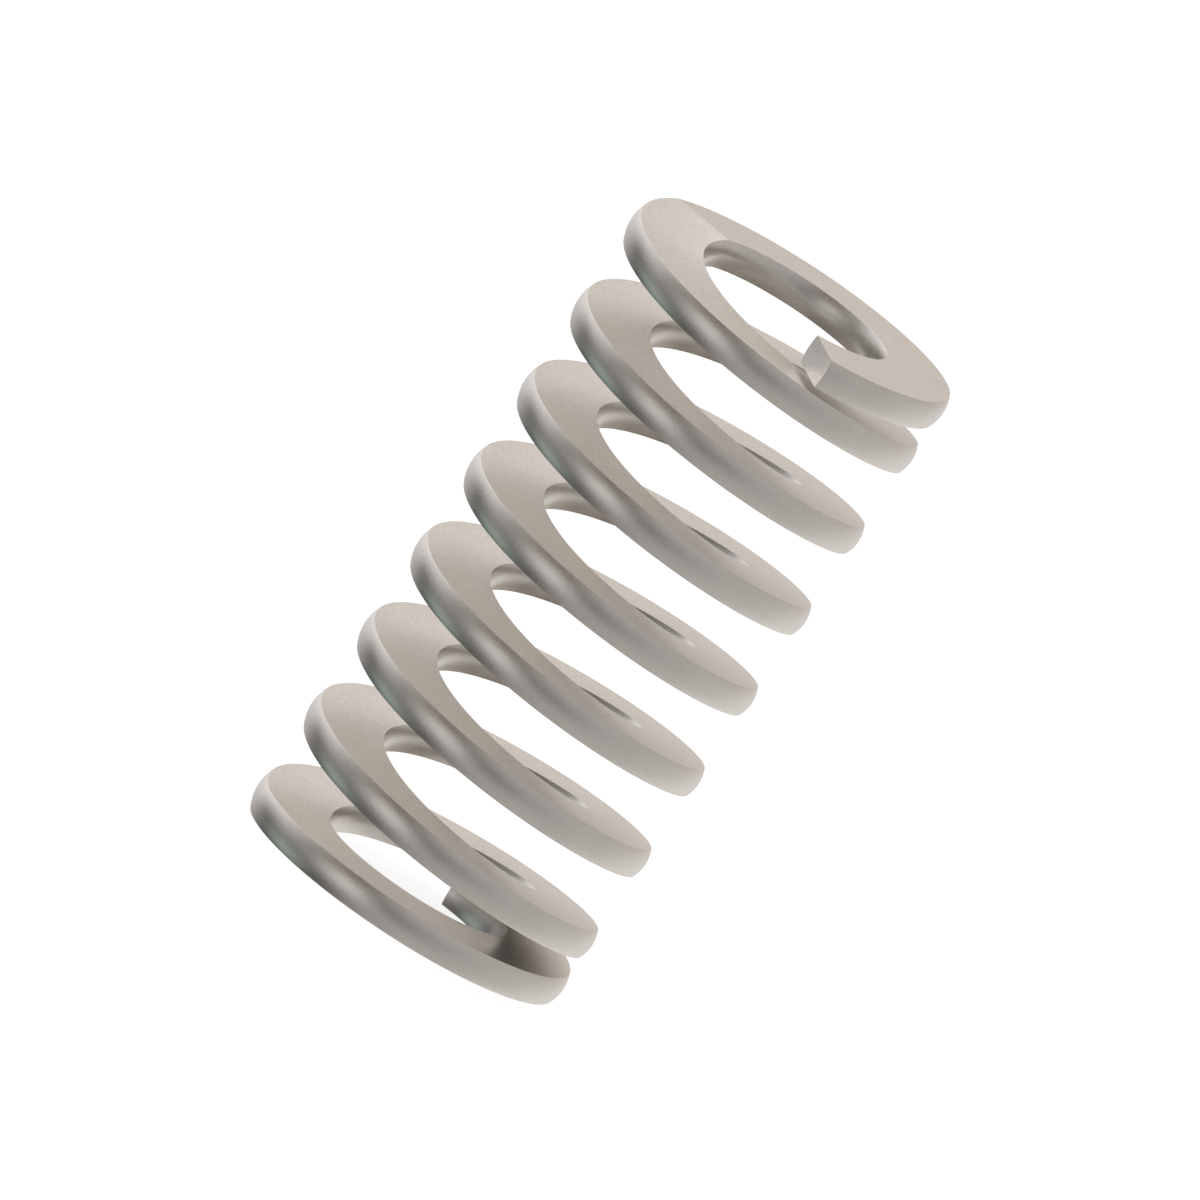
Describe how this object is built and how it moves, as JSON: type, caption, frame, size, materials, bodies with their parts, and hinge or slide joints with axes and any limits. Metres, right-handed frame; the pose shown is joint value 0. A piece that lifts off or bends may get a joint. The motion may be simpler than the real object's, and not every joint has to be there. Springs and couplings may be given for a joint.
{
  "type": "compression spring",
  "caption": "Left-hand wound compression spring of flat wire with crowned edges and closed, flat end coils that stand square on a plate.",
  "frame": {"origin": "centre of the lower end face, on the spring's axis", "axes": "+Z along the spring's axis, from the lower end face to the upper one; +X is the direction from which the lower wire tip lies 70.5 degrees anticlockwise"},
  "size_m": [0.025, 0.025, 0.05],
  "materials": {
    "spring_steel": "satin"
  },
  "bodies": {
    "root": {"compression_spring": "spring_steel"}
  },
  "joints": []
}
